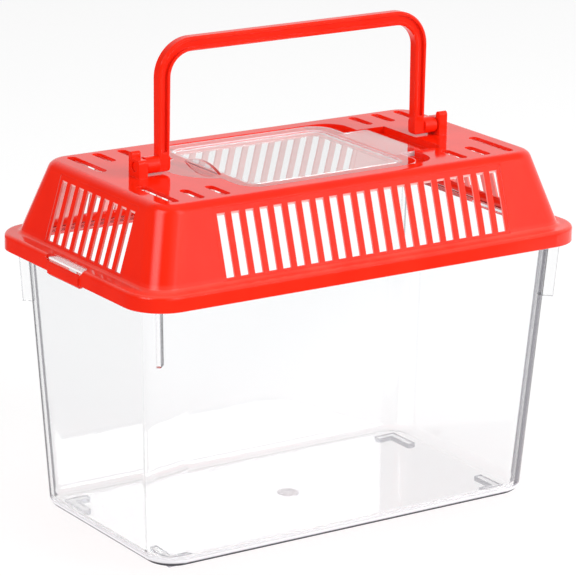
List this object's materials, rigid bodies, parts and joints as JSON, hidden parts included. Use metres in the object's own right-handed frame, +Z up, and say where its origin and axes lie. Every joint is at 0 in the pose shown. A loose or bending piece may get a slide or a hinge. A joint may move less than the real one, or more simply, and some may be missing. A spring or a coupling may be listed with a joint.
{
  "type": "portable fish tank",
  "caption": "Clear tapered plastic tank with a slotted red lid that clips on, a clear hinged hatch in the lid's deck and a red swing-over carry handle, for carrying small fish or pets.",
  "frame": {"origin": "under the middle of the tank, on the surface that its feet stand on", "axes": "+X along the tank's length towards the hatch's hinge, +Y towards the back, +Z up"},
  "size_m": [0.1862, 0.107, 0.1776],
  "materials": {
    "clear_plastic": "clear, polished",
    "red_plastic": "glossy"
  },
  "bodies": {
    "tank": {"tank": "clear_plastic"},
    "lid": {"lid": "red_plastic"},
    "hatch": {"hatch_window": "clear_plastic"},
    "handle": {"carry_handle": "red_plastic"}
  },
  "joints": [
    {"name": "lid_lift", "type": "slide", "parent": "tank", "child": "lid", "axis": [0, 0, 1], "range_m": [0, 0.11]},
    {"name": "hatch_hinge", "type": "hinge", "parent": "lid", "child": "hatch", "pos_m": [0.0443, 0, 0.12905], "axis": [0, 1, 0], "range_deg": [0, 24]},
    {"name": "handle_swing", "type": "hinge", "parent": "lid", "child": "handle", "pos_m": [0, 0, 0.134], "axis": [1, 0, 0], "range_deg": [-90, 90]}
  ]
}
